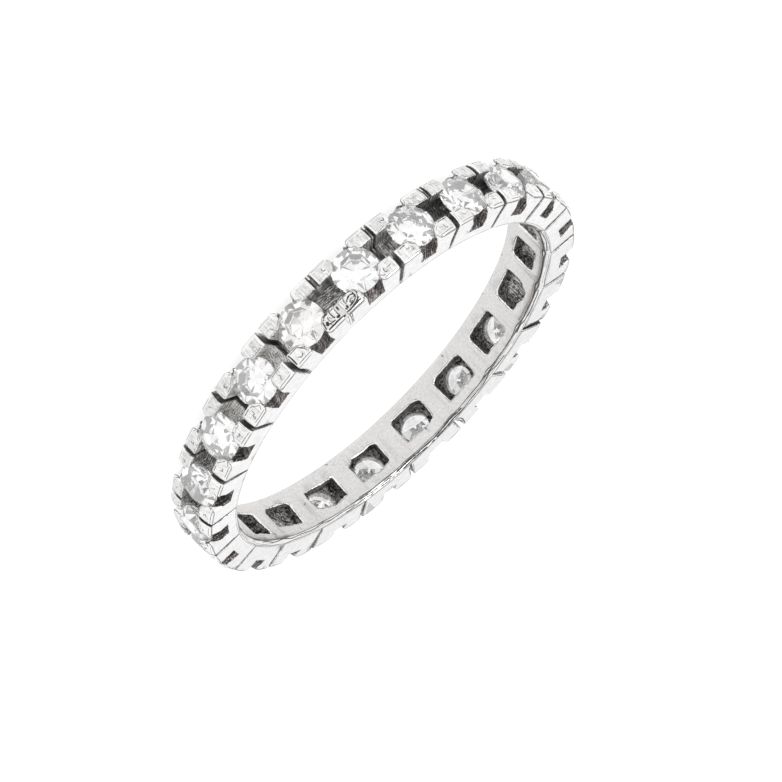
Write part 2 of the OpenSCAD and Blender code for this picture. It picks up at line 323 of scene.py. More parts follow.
# ------------------------------------------------------------------ dual contouring on a grid that is bent round the ring
def contour(field, m, cell, z_range, r_range):
    nt = N * m
    nz = int(math.ceil((z_range[1] - z_range[0]) / cell)) + 1
    nr = int(math.ceil((r_range[1] - r_range[0]) / cell)) + 1
    ts = np.arange(nt) * (2 * math.pi / nt)
    zs = z_range[0] + np.arange(nz) * cell
    rs = r_range[0] + np.arange(nr) * cell
    F = np.empty((nt, nz, nr), np.float32)
    for a in range(0, nt, 2 * m):
        T, Z, R = np.meshgrid(ts[a:a + 2 * m], zs, rs, indexing="ij")
        F[a:a + 2 * m] = field(T, Z, R)
    inside = F < 0
    dt = 2 * math.pi / nt
    steps = (dt, cell, cell)
    around = ((-1, -1), (0, -1), (0, 0), (-1, 0))
    flat = lambda t, zz, rr: (t % nt) * (nz * nr) + zz * nr + rr

    def four(axis, index):
        """The four cells round a grid edge, as shifts and flat numbers."""
        b, c = (axis + 1) % 3, (axis + 2) % 3
        for ob, oc in around:
            q = list(index)
            q[b], q[c] = q[b] + ob, q[c] + oc
            yield q, flat(*q)

    edges = []
    mark = np.zeros(nt * nz * nr, bool)
    for axis in range(3):
        if axis == 0:
            a_, other, fa, fo = inside, np.roll(inside, -1, 0), F, np.roll(F, -1, 0)
        elif axis == 1:
            a_, other, fa, fo = inside[:, :-1], inside[:, 1:], F[:, :-1], F[:, 1:]
        else:
            a_, other, fa, fo = inside[:, :, :-1], inside[:, :, 1:], F[:, :, :-1], F[:, :, 1:]
        index = np.nonzero(a_ != other)
        edges.append((index, fa[index].astype(float), fo[index].astype(float)))
        for _, cells in four(axis, index):
            mark[cells] = True
    used = np.flatnonzero(mark)
    lut = np.full(nt * nz * nr, -1, np.int32)
    lut[used] = np.arange(len(used), dtype=np.int32)
    S = np.zeros((13, len(used)))
    quads = []
    for axis in range(3):
        index, f0, f1 = edges[axis]
        it, iz, ir = index
        start_in = f0 < 0
        s = f0 / (f0 - f1)
        base = [ts[it], zs[iz], rs[ir]]
        lo, hi = np.zeros_like(s), np.ones_like(s)
        for _ in range(2):  # the crossing is found more exactly
            p = list(base)
            p[axis] = base[axis] + s * steps[axis]
            g = field(*p)
            same = (g < 0) == start_in
            lo, hi = np.where(same, s, lo), np.where(same, hi, s)
            f0, f1 = np.where(same, g, f0), np.where(same, f1, g)
            d = f0 - f1
            s = np.clip(lo + (hi - lo) * f0 / np.where(np.abs(d) < 1e-12, 1e-12, d), lo, hi)
        p = list(base)
        p[axis] = base[axis] + s * steps[axis]
        t, zz, rr = p
        n = gradient(field, t, zz, rr)
        corners = []
        for q, cells in four(axis, index):
            compact = lut[cells]
            corners.append(compact)
            # the crossing in the cell's own frame, from the cell's middle
            rc = rs[q[2]] + cell / 2
            x0 = ((t - (ts[0] + q[0] * dt)) - dt / 2) * rc
            x1 = zz - (zs[0] + q[1] * cell + cell / 2)
            x2 = rr - rc
            dot = n[0] * x0 + n[1] * x1 + n[2] * x2
            rows = (n[0] ** 2, n[1] ** 2, n[2] ** 2, n[0] * n[1], n[0] * n[2], n[1] * n[2],
                    n[0] * dot, n[1] * dot, n[2] * dot, x0, x1, x2, None)
            for kk, row in enumerate(rows):
                S[kk] += np.bincount(compact, weights=row, minlength=len(used))
        q = np.stack(corners, 1)
        q[~start_in] = q[~start_in][:, ::-1]
        quads.append(q)
    faces = np.concatenate(quads)
    cnt = S[12]
    mass = (S[9:12] / cnt).T
    A = np.empty((len(used), 3, 3))
    A[:, 0, 0], A[:, 1, 1], A[:, 2, 2] = S[0], S[1], S[2]
    A[:, 0, 1] = A[:, 1, 0] = S[3]
    A[:, 0, 2] = A[:, 2, 0] = S[4]
    A[:, 1, 2] = A[:, 2, 1] = S[5]
    B = S[6:9].T - np.einsum("nij,nj->ni", A, mass)
    A[:, [0, 1, 2], [0, 1, 2]] += (0.03 * cnt)[:, None]
    x = mass + np.linalg.solve(A, B[:, :, None])[:, :, 0]
    half = 0.5 * cell * 1.02
    x = np.clip(x, -half, half)
    ct, rest = used // (nz * nr), used % (nz * nr)
    cz, cr = rest // nr, rest % nr
    rc = rs[cr] + cell / 2
    theta = ts[ct] + dt / 2 + x[:, 0] / rc
    zed = zs[cz] + cell / 2 + x[:, 1]
    rad = rc + x[:, 2]
    verts = np.stack([rad * np.cos(theta), rad * np.sin(theta), zed], 1)
    return verts, faces


def polar(co):
    return np.arctan2(co[:, 1], co[:, 0]) % (2 * math.pi), co[:, 2], np.hypot(co[:, 0], co[:, 1])


def mesh_from(name, verts, faces):
    me = bpy.data.meshes.new(name)
    me.vertices.add(len(verts))
    me.vertices.foreach_set("co", (verts / 1000).astype(np.float32).ravel())
    n = faces.shape[1]
    me.loops.add(faces.size)
    me.loops.foreach_set("vertex_index", faces.astype(np.int32).ravel())
    me.polygons.add(len(faces))
    me.polygons.foreach_set("loop_start", np.arange(0, faces.size, n, dtype=np.int32))
    me.update(calc_edges=True)
    me.validate()
    return me


def link(ob):
    bpy.context.scene.collection.objects.link(ob)
    return ob


# ------------------------------------------------------------------ the band
def make_band():
    cell = 0.042
    m = int(round(PITCH * 9.5 / cell))
    verts, faces = contour(band_field, m, cell, (-0.1, W + 0.1), (RI - 0.09, RI + CLAW_H + 0.12))
    a, b, c = verts[faces[:, 0]], verts[faces[:, 1]], verts[faces[:, 2]]
    if np.einsum("ij,ij->i", a, np.cross(b, c)).sum() < 0:
        faces = faces[:, ::-1]
    me = mesh_from("band_mesh", verts, faces)
    ob = link(bpy.data.objects.new("ring_band", me))
    v2, f2, z2 = all_lines()
    target = 195000 - len(f2)
    n_tri = 2 * len(faces)
    if n_tri > target:
        mod = ob.modifiers.new("thin", "DECIMATE")
        mod.ratio = target / n_tri
        bpy.context.view_layer.update()
        dg = bpy.context.evaluated_depsgraph_get()
        thin = bpy.data.meshes.new_from_object(ob.evaluated_get(dg))
        ob.modifiers.clear()
        ob.data = thin
    base = ob.data
    zone = label_faces(base)
    n = len(base.vertices)
    co = np.empty(n * 3, np.float32)
    base.vertices.foreach_get("co", co)
    base.calc_loop_triangles()
    tri, of = np.empty(len(base.loop_triangles) * 3, np.int32), np.empty(len(base.loop_triangles), np.int32)
    base.loop_triangles.foreach_get("vertices", tri)
    base.loop_triangles.foreach_get("polygon_index", of)
    tri, zone = tri.reshape(-1, 3), zone[of]
    print("band", len(faces), "quads", len(tri), "triangles kept", len(f2), "in lines")
    me = mesh_from("ring_band", np.concatenate([co.reshape(-1, 3).astype(float) * 1000, v2]), np.concatenate([tri, f2 + n]))
    ob.data = me
    zones = np.concatenate([zone, z2])
    assert len(me.polygons) == len(zones)
    return ob, zones


# ------------------------------------------------------------------ thin raised strips laid along the surface: scratches and tool marks, and many painted shade and painted reflection lines along edges and outlines
# Each is a narrow strip that follows the band: its edges lie just below the surface and its middle just above.
R_TOP, R_IN, R_SIDE = RI + 1.7, RI, RI + 0.95
line_rng = np.random.RandomState(5)


def find(make, start, stop):
    """Goes from start towards stop and gives the place where the metal begins, for each pair of places in make."""
    steps = np.linspace(start, stop, 64)
    inside = band_field(*make(steps[None, :])) < 0
    first = inside.argmax(1)
    ok = inside.any(1) & (first > 0)
    lo, hi = steps[np.maximum(first - 1, 0)], steps[first]
    for _ in range(7):
        mid = (lo + hi) / 2
        g = band_field(*[q[:, 0] for q in make(mid[:, None])]) < 0
        lo, hi = np.where(g, lo, mid), np.where(g, mid, hi)
    return (lo + hi) / 2, ok


def on_surface(mode, p):
    """Angle, height and radius of the plane points p on the top, the finger side ('in') or a side face."""
    if mode == "top":
        t, z = p[:, :1] / R_TOP, p[:, 1:] + W / 2
        r, ok = find(lambda s: np.broadcast_arrays(t, z, s), RI + 1.85, RI + 1.0)
        return t[:, 0], z[:, 0], r, ok
    if mode == "in":
        t, z = p[:, :1] / R_IN, p[:, 1:] + W / 2
        r, ok = find(lambda s: np.broadcast_arrays(t, z, s), RI - 0.05, RI + 0.35)
        return t[:, 0], z[:, 0], r, ok
    t, r = p[:, :1] / R_SIDE, p[:, 1:]
    a, b = (W + 0.05, W - 0.4) if mode == "side" else (-0.05, 0.4)
    z, ok = find(lambda s: np.broadcast_arrays(t, s, r), a, b)
    return t[:, 0], z, r[:, 0], ok


def evenly(points, step=0.05):
    """The polyline with corners cut once and points about every step."""
    q = np.asarray(points, float)
    if len(q) > 2:
        a, b = q[:-1] * 0.7 + q[1:] * 0.3, q[:-1] * 0.3 + q[1:] * 0.7
        q = np.concatenate([q[:1], np.stack([a, b], 1).reshape(-1, 2), q[-1:]])
    d = np.concatenate([[0], np.cumsum(np.hypot(*np.diff(q, axis=0).T))])
    n = max(int(d[-1] / step) + 1, 2)
    s = np.linspace(0, d[-1], n)
    return np.stack([np.interp(s, d, q[:, 0]), np.interp(s, d, q[:, 1])], 1)


class Lines:
    DARK, GREY, LIGHT = 11, 12, 13

    def __init__(self):
        self.todo = []

    def draw(self, mode, points, width=0.026, kind=11, lift=0.007, wobble=0.006, taper=True, step=0.05):
        p = evenly(points, step)
        d = np.gradient(p, axis=0)
        d /= np.maximum(np.hypot(d[:, 0], d[:, 1]), 1e-6)[:, None]
        across = np.stack([-d[:, 1], d[:, 0]], 1)
        if wobble:
            p = p + across * (line_rng.uniform(-wobble, wobble, len(p)))[:, None]
        w = np.full(len(p), width * 1.65) * line_rng.uniform(0.75, 1.2, len(p))
        if taper:
            w[[0, -1]] *= 0.35
        self.todo.append((mode, p, across * (w / 2)[:, None], kind, lift))

    def at(self, mode, stone, points, **more):
        """Points in millimetres from the middle of the setting of this stone: along the ring, and across it or outwards."""
        r = {"top": R_TOP, "in": R_IN}.get(mode, R_SIDE)
        t = FIRST + (stone - 1) * PITCH
        q = np.asarray(points, float).copy()
        if mode in ("top", "in"):
            q[:, 0] = (t + np.arcsin(q[:, 0] / r)) * r
        else:
            u, h = q[:, 0].copy(), q[:, 1].copy()
            q[:, 0], q[:, 1] = (t + np.arctan2(u, h)) * r, np.hypot(u, h)
        self.draw(mode, q, **more)

    def mesh(self):
        verts, faces, zone = [], [], []
        base = 0
        for mode in ("top", "in", "side", "low"):
            items = [x for x in self.todo if x[0] == mode]
            if not items:
                continue
            mid = np.concatenate([x[1] for x in items])
            off = np.concatenate([x[2] for x in items])
            places = [on_surface(mode, mid + off * k) for k in (1, 0, -1)]
            t, z, r, ok = (np.stack([pl[k] for pl in places]) for k in range(4))
            n = gradient(band_field, t[1], z[1], r[1])
            er = np.stack([np.cos(t[1]), np.sin(t[1]), 0 * t[1]], 1)
            et = np.stack([-np.sin(t[1]), np.cos(t[1]), 0 * t[1]], 1)
            ez = np.array([0, 0, 1.0])
            normal = et * n[0][:, None] + ez * n[1][:, None] + er * n[2][:, None]
            xyz = np.stack([r * np.cos(t), r * np.sin(t), z], -1)
            far = np.hypot(off[:, 0], off[:, 1]) * 1.3 + 0.035
            flat = (np.linalg.norm(xyz[0] - xyz[1], axis=1) < far) & (np.linalg.norm(xyz[2] - xyz[1], axis=1) < far)
            good = ok.all(0) & flat
            at = 0
            for _, p, _, kind, lift in items:
                m = len(p)
                sl = slice(at, at + m)
                at += m
                L, M, R, nn, g = xyz[0, sl] - normal[sl] * 0.006, xyz[1, sl] + normal[sl] * lift, xyz[2, sl] - normal[sl] * 0.006, \
                    normal[sl], good[sl]
                join = g[:-1] & g[1:] & (np.linalg.norm(np.diff(xyz[1, sl], axis=0), axis=1) < 0.14)
                k = 0
                while k < m - 1:
                    if not join[k]:
                        k += 1
                        continue
                    e = k
                    while e < m - 1 and join[e]:
                        e += 1
                    c = np.stack([L[k:e + 1], M[k:e + 1], R[k:e + 1]], 1).reshape(-1, 3)
                    f = []
                    for q in range(e - k):
                        a = base + 3 * q
                        for x, y in ((0, 1), (1, 2)):
                            f += [(a + x, a + y, a + 3 + y), (a + x, a + 3 + y, a + 3 + x)]
                    f = np.array(f)
                    A, B, C = (c[f[:, w] - base] for w in range(3))
                    if (np.einsum("ij,ij->i", np.cross(B - A, C - A)[:4], np.tile(nn[k], (4, 1)))).sum() < 0:
                        f = f[:, ::-1]
                    verts.append(c)
                    faces.append(f)
                    zone.append(np.full(len(f), kind))
                    base += len(c)
                    k = e
        return np.concatenate(verts), np.concatenate(faces), np.concatenate(zone)


# small bent marks that the setting tools left, in units of their own size
MARKS = {
    "corner": ((-0.7, -0.8), (0.0, 0.8), (0.7, -0.5)),
    "hook": ((-0.5, 0.9), (0.4, 0.75), (0.55, 0.0), (0.1, -0.8)),
    "zigzag": ((-1.0, -0.6), (-0.3, 0.5), (0.2, -0.3), (1.0, 0.3)),
    "loop": ((-1.1, -0.3), (-0.6, 0.35), (0.2, 0.55), (0.9, 0.1), (1.2, -0.5)),
    "tick": ((-0.2, 0.9), (0.1, 0.0), (-0.1, -0.8)),
    "spot": ((-0.3, 0.1), (0.3, -0.1)),
}
# the marks that the photo shows: stone, along, across, which, size, turn in degrees, darkness
SEEN = (
    (17, 0.94, -0.70, "hook", 0.07, 20, 12), (17, 0.92, -0.92, "spot", 0.05, 0, 12), (17, -1.14, -0.80, "spot", 0.05, 30, 12),
    (17, -0.98, -0.88, "spot", 0.05, 80, 12), (16, 0.94, -0.86, "hook", 0.10, 10, 11), (16, 0.50, -0.88, "spot", 0.06, 0, 11),
    (16, -0.86, -0.82, "spot", 0.06, 0, 11), (16, -1.0, -0.98, "spot", 0.05, 0, 12), (18, 0.92, -0.78, "hook", 0.09, -10, 11),
    (18, -1.1, -0.8, "tick", 0.06, 20, 12), (15, 0.84, -0.82, "corner", 0.11, 10, 11), (15, 1.0, -0.80, "tick", 0.08, 0, 12),
    (14, 0.92, -0.78, "spot", 0.05, 0, 11), (17, 0.89, 0.96, "loop", 0.09, 0, 11), (18, 0.95, 0.90, "zigzag", 0.11, 30, 11),
    (18, 1.05, 1.0, "hook", 0.07, 80, 12), (18, -1.0, 0.90, "zigzag", 0.11, 60, 12), (16, -0.80, 0.88, "hook", 0.11, 0, 11),
    (16, -1.02, 0.86, "tick", 0.11, 90, 12), (15, -1.0, 0.90, "hook", 0.10, 10, 12), (15, 0.82, 0.90, "corner", 0.10, 40, 12),
    (15, 1.0, 0.80, "zigzag", 0.08, 0, 12), (14, -0.9, 0.88, "tick", 0.10, 60, 12), (14, 1.0, 0.84, "hook", 0.09, 30, 12),
    (19, 0.98, 0.88, "hook", 0.10, 40, 11), (19, -0.95, 0.86, "zigzag", 0.09, -20, 11), (19, 0.95, -0.8, "hook", 0.08, 0, 11),
    (20, 0.95, 0.86, "corner", 0.09, 100, 11), (20, -0.95, 0.86, "hook", 0.09, 30, 12), (20, -0.95, -0.8, "corner", 0.09, 30, 11),
    (21, 0.95, 0.86, "tick", 0.10, 30, 11), (21, -0.95, 0.84, "hook", 0.09, 70, 12), (19, -0.98, -0.85, "tick", 0.09, 10, 12),
)


def claw_lines(lines):
    q = line_rng
    seen = {(m[0], m[1] > 0, m[2] > 0) for m in SEEN}
    for stone in range(1, N + 1):
        for su in (-1, 1):
            for sv in (-1, 1):
                S = np.array([su, sv])
                near = sv > 0
                # painted shade lines round the stone and the rounded end at the slot
                for g in ((0.03, 0.10) if near else (0.03,)):
                    arc = [(0.90 + g) * np.array([math.cos(a), math.sin(a)]) for a in np.radians((38, 46, 54, 61))]
                    path = [(1.40 - g, GROOVE + 0.01 + g), (0.80 + g, GROOVE + 0.01 + g)] + arc + \
                        [(0.45 + g, 0.93), (0.50 + g, 1.03), (0.62 + g, 1.09 - g * 0.5)]
                    whole = evenly(path, 0.03)
                    cuts = np.sort(q.uniform(0, 1, 2 if near else 1))
                    for a, b in zip([0, *cuts], [*cuts, 1]):
                        a, b = a + q.uniform(0.0, 0.04), b - q.uniform(0.0, 0.12)
                        part = whole[int(a * len(whole)):int(b * len(whole))]
                        if len(part) > 3 and q.uniform() < (0.85 if near else 0.7):
                            lines.at("top", stone, part * S, width=q.uniform(0.014, 0.030) * (1.65 if near else 1.15), kind=11 if q.uniform() < (0.75 if near else 0.5) else 12)
                # a painted shade line along the edge at the saw cut
                if q.uniform() < 0.8:
                    a, b = q.uniform(0.52, 0.66), q.uniform(0.85, 1.08)
                    lines.at("top", stone, np.array([(1.40, a), (1.385, (a + b) / 2), (1.40, b)]) * S, width=0.022, kind=12)
                # short strokes across the edge of the groove
                n = q.randint(6, 12) if not near else q.randint(2, 6)
                for u in np.sort(q.uniform(0.82, 1.38, n)):
                    long = q.uniform(0.04, 0.13 if not near else 0.09)
                    lines.at("top", stone, np.array([(u, GROOVE + 0.03), (u + q.uniform(-0.02, 0.02), GROOVE + 0.03 + long)]) * S,
                             width=q.uniform(0.012, 0.022), kind=11 if q.uniform() < 0.6 else 12, wobble=0.0)
                # long fine strokes on the flat of the claw
                for _ in range(q.randint(1, 4)):
                    a, b = q.uniform(0.62, 1.0), q.uniform(0.62, 1.05)
                    lines.at("top", stone, np.array([(a, b), (a + q.uniform(0.1, 0.3), b + q.uniform(-0.04, 0.04))]) * S,
                             width=q.uniform(0.010, 0.016), kind=12)
                # two painted reflection lines along the chamfer, the lower one on the side face
                if q.uniform() < 0.9:
                    a, b = q.uniform(0.50, 0.66), q.uniform(1.15, 1.42)
                    c = q.uniform(-0.015, 0.015, 3)
                    lines.at("top", stone, np.array([(a, 1.115 + c[0]), ((a + b) / 2, 1.12 + c[1]), (b, 1.115 + c[2])]) * S,
                             width=q.uniform(0.020, 0.034), kind=11 if q.uniform() < 0.55 else 12)
                face = "side" if sv > 0 else "low"
                r0 = side_r[stone - 1]
                if q.uniform() < 0.85:
                    a, b = q.uniform(0.46, 0.60), q.uniform(1.2, 1.40)
                    c = q.uniform(-0.02, 0.02, 3)
                    h = lambda u, d: math.sqrt((r0 - 0.03 + d) ** 2 - u * u)
                    m = (a + b) / 2
                    lines.at(face, stone, np.array([(a * su, h(a, c[0])), (m * su, h(m, c[1])), (b * su, h(b, c[2]))]),
                             width=q.uniform(0.020, 0.032), kind=11 if q.uniform() < 0.5 else 12)
                # a mark, or a few
                if (stone, su > 0, near) not in seen and q.uniform() < 0.85:
                    shape = np.array(MARKS[("corner", "hook", "zigzag", "loop", "tick", "spot")[q.randint(6)]])
                    turn = q.uniform(0, 6.28)
                    m = np.array([[math.cos(turn), -math.sin(turn)], [math.sin(turn), math.cos(turn)]])
                    at = np.array([su * q.uniform(0.85, 1.1), sv * q.uniform(0.78, 0.95)])
                    size = q.uniform(0.06, 0.10)
                    lines.at("top", stone, at + size * shape @ m.T, width=0.024, kind=11 if near else 12, wobble=0.003, step=0.03)
    for stone, u, v, which, size, turn, kind in SEEN:
        turn = math.radians(turn)
        m = np.array([[math.cos(turn), -math.sin(turn)], [math.sin(turn), math.cos(turn)]])
        lines.at("top", stone, np.array([u, v]) + 1.15 * size * np.array(MARKS[which]) @ m.T, width=0.030, kind=kind, wobble=0.003,
                 step=0.03, lift=0.012)


# the solder's outlines, painted shade round the lumps: stone, width, darkness, places
SOLDER = (
    (17, 0.040, 11, ((-1.46, 0.58), (-1.43, 0.85), (-1.40, 1.10))), (17, 0.030, 11, ((-1.33, 0.62), (-1.31, 0.84), (-1.33, 1.06))),
    (17, 0.055, 11, ((-1.22, 1.06), (-1.23, 0.94))), (17, 0.085, 11, ((-0.77, 0.92), (-0.68, 0.88))),
    (17, 0.040, 11, ((-1.06, 1.04), (-0.90, 1.02), (-0.80, 0.96))), (17, 0.030, 11, ((-1.08, 0.62), (-1.06, 0.84), (-1.12, 0.96))),
    (17, 0.030, 11, ((-1.32, 0.55), (-1.0, 0.56), (-0.78, 0.60))), (17, 0.028, 12, ((-0.92, 0.70), (-0.86, 0.86), (-0.92, 0.98))),
    (17, 0.034, 11, ((-0.62, 0.76), (-0.58, 0.90), (-0.54, 1.02))), (17, 0.070, 11, ((0.47, 0.86), (0.53, 0.80))),
    (17, 0.026, 12, ((0.56, 0.98), (0.60, 0.86), (0.72, 0.72))), (17, 0.034, 11, ((1.26, 0.56), (1.24, 0.80), (1.27, 1.08))),
    (16, 0.036, 11, ((0.68, 0.58), (0.68, 0.80), (0.74, 0.96), (0.92, 1.08), (1.16, 1.10))),
    (16, 0.030, 11, ((0.80, 0.66), (0.78, 0.86), (0.90, 0.98), (1.06, 1.02))), (16, 0.055, 11, ((0.98, 1.03), (1.10, 1.04), (1.24, 1.05))),
    (16, 0.034, 11, ((0.80, 0.76), (0.98, 0.70), (1.14, 0.76), (1.22, 0.86))), (16, 0.075, 11, ((1.30, 0.97), (1.36, 0.96))),
    (16, 0.032, 12, ((0.94, 0.90), (1.04, 0.84), (1.14, 0.92), (1.04, 0.98))), (16, 0.030, 11, ((0.80, 0.57), (1.10, 0.56), (1.38, 0.58))),
    (16, 0.036, 11, ((1.43, 0.58), (1.45, 0.82), (1.41, 1.08))), (16, 0.026, 12, ((1.24, 0.62), (1.30, 0.76), (1.28, 0.88))),
    (17, 0.036, 11, ((-1.50, 1.105), (-1.1, 1.11), (-0.6, 1.10))), (16, 0.036, 11, ((0.72, 1.10), (1.1, 1.115), (1.5, 1.105))),
)


def repair_lines(lines):
    """Dark outlines round the lumps of solder at the closed cut, which are painted shade; the traces of the repair on
    the side face; and painted reflection lines along the side face's outer edge beside the repair.
    """
    for stone, width, kind, points in SOLDER:
        lines.at("top", stone, points, width=width * 1.85, kind=kind, wobble=0.004, step=0.03, lift=0.012)
    for u in (1.30, 1.38, 1.50):
        lines.at("side", 16, np.array([(u + 0.07, 10.12), (u, 9.8), (u + 0.01, 9.4), (u - 0.02, 9.05)]), width=0.028, kind=11)
    lines.at("side", 16, np.array([(1.34, 9.95), (1.29, 9.75), (1.36, 9.55)]), width=0.06, kind=12)
    for a, b in ((-1.5, -0.56), (0.62, 1.5)):
        stone = 17 if a < 0 else 16
        u = np.linspace(a, b, 5)
        for d, width in ((-0.035, 0.046), (-0.10, 0.032)):
            lines.at("side", stone, np.stack([u, np.sqrt((side_r[stone - 1] + d) ** 2 - u * u)], 1), width=width, kind=11)


def inner_lines(lines):
    """Painted reflection lines along the wavy edge of the chamfer on the finger side, with wide dark and brown painted
    reflection bands at two places, painted shade lines round the openings, and the nicks and scratches there.
    """
    def edge(a, b, shift, width, kind, amp=0.006):
        t = np.radians(np.linspace(a, b, max(int(abs(b - a) / 0.45), 4)))
        v = W / 2 - inner_bevel(t, np.ones_like(t)) + shift + amp * np.sin(t * 40 + a)
        steep = shift > 0.03  # on the chamfer, where a line has to stand out more and so looks wider
        lines.draw("in", np.stack([t * R_IN, v], 1), width=width * (0.78 if steep else 1.0), kind=kind,
                   lift=0.013 if steep else 0.006, wobble=0.003, step=0.07)
    def along(a, b, v, width, kind, amp=0.008):
        t = np.radians(np.linspace(a, b, max(int(abs(b - a) / 0.6), 4)))
        lines.draw("in", np.stack([t * R_IN, v + amp * np.sin(t * 23 + a) + 0 * t], 1), width=width, kind=kind, lift=0.006,
                   wobble=0.003, step=0.07)
    # painted reflection lines along the chamfer's edges; the wide dark ones and the brown ones stand in for the
    # chamfer's dark reflection
    edge(6, 44, -0.016, 0.044, 11)
    edge(44, 66, -0.012, 0.046, 11)
    edge(66, 118, -0.012, 0.062, 11)
    edge(118, 148, -0.018, 0.088, 11)
    edge(148, 201, -0.030, 0.14, 11, amp=0.010)
    edge(138, 201, -0.14, 0.11, 14, amp=0.020)
    edge(8, 36, -0.065, 0.050, 14, amp=0.010)
    for a in range(10, 195, 23):
        along(a, a + line_rng.uniform(12, 21), 1.185, 0.018, 12)
    for a in (12, 40, 108, 130, 155, 172):
        along(a, a + 15, 1.135, 0.016, 12, 0.014)
    edge(20, 64, 0.05, 0.030, 11, amp=0.012)
    edge(66, 84, 0.06, 0.036, 11)
    edge(80, 106, 0.042, 0.060, 11)
    edge(82, 105, 0.112, 0.054, 11)
    edge(86, 102, 0.160, 0.030, 11)
    edge(60, 84, 0.11, 0.030, 11)
    edge(104, 126, 0.10, 0.034, 11)
    edge(104, 132, 0.05, 0.016, 12, amp=0.012)
    edge(134, 152, 0.07, 0.034, 11, amp=0.010)
    edge(172, 188, 0.09, 0.032, 11, amp=0.008)
    for stone, points, width, kind in (
            (9, ((1.30, -1.13), (1.18, -1.13)), 0.05, 11), (8, ((1.32, -1.16), (1.20, -1.17)), 0.05, 11),
            (10, ((1.30, -1.13), (1.22, -1.14)), 0.05, 11), (9, ((-1.28, -1.15), (-1.20, -1.15)), 0.04, 12),
            (7, ((0.41, -0.98), (0.40, -1.14)), 0.035, 11), (7, ((0.37, -1.0), (0.38, -1.1)), 0.03, 12),
            (4, ((1.17, -1.08), (1.06, -1.14)), 0.045, 11), (4, ((-1.24, -0.02), (-1.18, -0.14)), 0.05, 11),
            (4, ((-1.16, -0.05), (-1.10, -0.16)), 0.03, 12), (3, ((0.11, 0.90), (0.13, 0.78)), 0.035, 11),
            (5, ((-0.72, -1.02), (-0.60, -1.04)), 0.02, 12)):
        lines.at("in", stone, points, width=width, kind=kind)
    q = line_rng
    # painted shade lines round the openings
    for stone, corners in OPENINGS.items():
        ring = evenly([(a * 1.075, b * 1.095) for a, b in corners + corners[:1]], 0.05)
        at = 0
        while at < len(ring) - 6:
            n = q.randint(10, 30)
            lines.at("in", stone, ring[at:at + n], width=q.uniform(0.014, 0.024), kind=11 if q.uniform() < 0.6 else 12, wobble=0.005)
            at += n + q.randint(1, 8)
    for _ in range(16):
        a, b = q.uniform(0.65, 1.0), q.uniform(0.30, 0.98)
        lines.at("in", 2, ((a, b), (a + q.uniform(-0.05, 0.05), b + q.uniform(0.06, 0.16))), width=0.022, kind=11 if q.uniform() < 0.4 else 12)
    for _ in range(40):
        a, b = q.uniform(-0.75, 0.75), q.uniform(0.10, 0.98)
        lines.at("in", 11, ((a, b), (a + q.uniform(-0.08, 0.08), b + q.uniform(-0.14, 0.14))), width=0.026, kind=11 if q.uniform() < 0.5 else 12)
    for _ in range(110):
        t, v = q.uniform(0, 2 * math.pi), q.uniform(-1.05, 0.9)
        a, l = q.uniform(0, 3.1), q.uniform(0.05, 0.18)
        lines.draw("in", [(t * R_IN, v), (t * R_IN + l * math.cos(a), v + l * math.sin(a) * 0.4)], width=0.012, kind=12)


def side_lines(lines):
    """Lines beside the saw cuts on the two faces."""
    q = line_rng
    for j in range(N):
        for face in ("side", "low"):
            for s in (-1, 1):
                if q.uniform() < 0.75:
                    top, low = q.uniform(9.8, 10.15), q.uniform(8.95, 9.4)
                    w = saw_w[j] * 0.8 + 0.02 + q.uniform(0, 0.02)
                    at = saw_c[j] + s * w
                    lines.at(face, j + 1, [(math.tan(PITCH / 2) * h + at * 1.0, h) for h in np.linspace(top, low, 6)],
                             width=q.uniform(0.014, 0.026), kind=12 if q.uniform() < 0.6 else 11)


def cut_lines(lines):
    """Bold dark lines beside some cuts: stone before the cut, width, how far out they go."""
    for stone, width, low, top in ((12, 0.03, 8.9, 9.9), (11, 0.03, 8.9, 9.9), (10, 0.036, 8.85, 9.9), (9, 0.040, 8.85, 10.0), (8, 0.05, 8.75, 9.9), (7, 0.036, 8.85, 9.8), (6, 0.036, 8.9, 9.7), (5, 0.040, 8.95, 9.8), (4, 0.045, 8.9, 9.9), (3, 0.040, 8.9, 9.95), (2, 0.030, 8.9, 9.9)):
        for s in (-1, 1):
            at = saw_c[stone - 1] + s * (saw_w[stone - 1] + 0.022)
            lines.at("side", stone, [(math.tan(PITCH / 2) * h + at, h) for h in np.linspace(top, low, 7)], width=width, kind=11)


def bow_lines(lines):
    """A bold dark bow beside the cut between the stones 6 and 7."""
    for points, width in ((((-1.36, 8.78), (-1.18, 8.82), (-1.10, 9.12), (-1.18, 9.55), (-1.33, 9.98)), 0.07),
                          (((-1.28, 8.98), (-1.22, 9.3), (-1.29, 9.7)), 0.04)):
        lines.at("side", 7, points, width=width, kind=11, wobble=0.004)


def all_lines():
    lines = Lines()
    claw_lines(lines)
    repair_lines(lines)
    inner_lines(lines)
    side_lines(lines)
    cut_lines(lines)
    bow_lines(lines)
    return lines.mesh()


def label_faces(me):
    """The zone of the surface that each face lies on."""
    n = len(me.polygons)
    c = np.empty(n * 3, np.float32)
    me.polygons.foreach_get("center", c)
    c = c.reshape(-1, 3).astype(float) * 1000
    t, z, r = polar(c)
    _, zone = band_field(t, z, r, zones=True)
    return zone


F_PX, DIST = 4986.7481, 205.7228
EL, ROLL, AZ = math.radians(19.124225), math.radians(-133.933000), math.radians(7.298745)
CX, CY = 375.46, 367.33

